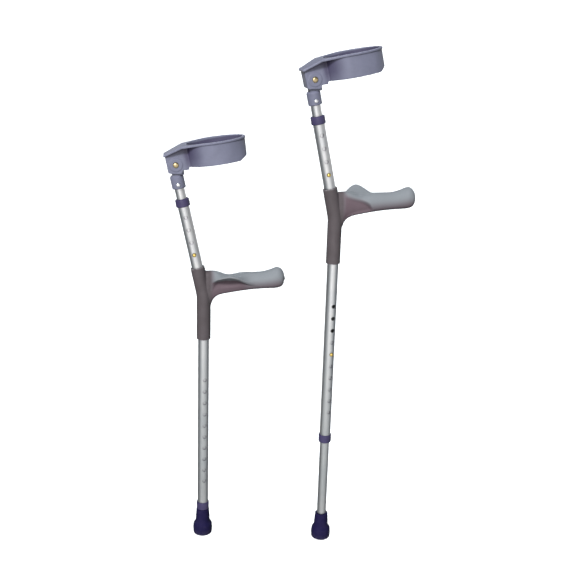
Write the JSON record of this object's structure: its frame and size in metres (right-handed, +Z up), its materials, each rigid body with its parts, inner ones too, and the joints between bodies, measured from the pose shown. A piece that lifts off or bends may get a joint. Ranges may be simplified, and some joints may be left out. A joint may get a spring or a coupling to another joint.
{
  "type": "forearm crutches",
  "caption": "Pair of height-adjustable forearm crutches: bent tube with sliding leg, pivoting closed arm cuff, shaped side grip and rubber ferrule; one extended, one collapsed.",
  "frame": {"origin": "middle of the pair's bounding box in plan, on the floor under the ferrules", "axes": "+Z up along both legs; +X the way the short crutch's handle points; +Y towards the tall crutch's palm-rest side, so the snap buttons face -Y"},
  "size_m": [0.4897, 0.1142, 1.0241],
  "materials": {
    "anodised_tube": "satin silver anodised tube",
    "handle_plastic": "fine moulded texture, warm dark grey",
    "cuff_plastic": "satin moulded blue-grey",
    "collar_plastic": "satin moulded navy",
    "ferrule_rubber": "matt moulded rubber",
    "plug_plastic": "smooth dark moulding",
    "brass": "polished by use",
    "rivet_steel": "bright rivet steel",
    "steel_rod": "drawn tube, as made",
    "zinc_steel": "bright zinc plated",
    "spring_steel": "blued spring strip"
  },
  "bodies": {
    "right_frame": {"right_main_tube": "anodised_tube", "right_handle_moulding": "handle_plastic", "right_handle_core": "steel_rod", "right_handle_bolt": "zinc_steel", "right_handle_barrel_nut": "zinc_steel", "right_handle_end_plug": "plug_plastic", "right_lower_collar": "collar_plastic", "right_forearm_collar": "collar_plastic"},
    "right_forearm": {"right_forearm_tube": "anodised_tube", "right_cuff_fitting": "cuff_plastic", "right_fitting_rivet": "rivet_steel", "right_cuff_rivet": "brass", "right_near_pivot_washer": "plug_plastic", "right_far_pivot_washer": "plug_plastic", "right_forearm_button_spring": "spring_steel"},
    "right_cuff_body": {"right_cuff": "cuff_plastic"},
    "right_forearm_button_body": {"right_forearm_button": "brass"},
    "right_leg": {"right_leg_tube": "anodised_tube", "right_ferrule": "ferrule_rubber", "right_tip_washer": "zinc_steel", "right_leg_button_spring": "spring_steel"},
    "right_leg_button_body": {"right_leg_button": "brass"},
    "left_frame": {"left_main_tube": "anodised_tube", "left_handle_moulding": "handle_plastic", "left_handle_core": "steel_rod", "left_handle_bolt": "zinc_steel", "left_handle_barrel_nut": "zinc_steel", "left_handle_end_plug": "plug_plastic", "left_lower_collar": "collar_plastic", "left_forearm_collar": "collar_plastic"},
    "left_forearm": {"left_forearm_tube": "anodised_tube", "left_cuff_fitting": "cuff_plastic", "left_fitting_rivet": "rivet_steel", "left_cuff_rivet": "brass", "left_near_pivot_washer": "plug_plastic", "left_far_pivot_washer": "plug_plastic", "left_forearm_button_spring": "spring_steel"},
    "left_cuff_body": {"left_cuff": "cuff_plastic"},
    "left_forearm_button_body": {"left_forearm_button": "brass"},
    "left_leg": {"left_leg_tube": "anodised_tube", "left_ferrule": "ferrule_rubber", "left_tip_washer": "zinc_steel", "left_leg_button_spring": "spring_steel"},
    "left_leg_button_body": {"left_leg_button": "brass"}
  },
  "joints": [
    {"name": "right_cuff_pivot", "type": "hinge", "parent": "right_forearm", "child": "right_cuff_body", "pos_m": [-0.22083, 0.01391, 0.79574], "axis": [0, -1, 0], "range_deg": [-9.5, 12.5]},
    {"name": "right_forearm_slide", "type": "slide", "parent": "right_frame", "child": "right_forearm", "axis": [-0.2164, 0, 0.9763], "range_m": [0, 0.0762], "deforming": ["right_forearm_button"]},
    {"name": "right_leg_slide", "type": "slide", "parent": "right_frame", "child": "right_leg", "axis": [0, 0, -1], "range_m": [0, 0.2935], "deforming": ["right_leg_button"]},
    {"name": "right_forearm_button_press", "type": "slide", "parent": "right_forearm", "child": "right_forearm_button_body", "axis": [0, 1, 0], "range_m": [0, 0.003], "stiffness_N_per_m": 1000, "springref_m": -0.002, "deforming": ["right_forearm_button_spring"]},
    {"name": "right_leg_button_press", "type": "slide", "parent": "right_leg", "child": "right_leg_button_body", "axis": [-0.2588, 0.9659, 0], "range_m": [0, 0.0012], "stiffness_N_per_m": 1000, "springref_m": -0.0045, "deforming": ["right_leg_button_spring"]},
    {"name": "left_cuff_pivot", "type": "hinge", "parent": "left_forearm", "child": "left_cuff_body", "pos_m": [0.03118, -0.02183, 0.96224], "axis": [0.1167, -0.9932, 0], "range_deg": [-12, 10]},
    {"name": "left_forearm_slide", "type": "slide", "parent": "left_frame", "child": "left_forearm", "axis": [-0.215, -0.0253, 0.9763], "range_m": [0, 0.0762], "deforming": ["left_forearm_button"]},
    {"name": "left_leg_slide", "type": "slide", "parent": "left_frame", "child": "left_leg", "axis": [0, 0, -1], "range_m": [-0.1016, 0.127], "deforming": ["left_leg_button"]},
    {"name": "left_forearm_button_press", "type": "slide", "parent": "left_forearm", "child": "left_forearm_button_body", "axis": [-0.1167, 0.9932, 0], "range_m": [0, 0.003], "stiffness_N_per_m": 1000, "springref_m": -0.002, "deforming": ["left_forearm_button_spring"]},
    {"name": "left_leg_button_press", "type": "slide", "parent": "left_leg", "child": "left_leg_button_body", "axis": [-0.3697, 0.9291, 0], "range_m": [0, 0.003], "stiffness_N_per_m": 1000, "springref_m": -0.002, "deforming": ["left_leg_button_spring"]},
    {"name": "right_crutch_lift", "type": "slide", "parent": "left_frame", "child": "right_frame", "axis": [0, 0, 1], "range_m": [0, 0.25]}
  ]
}
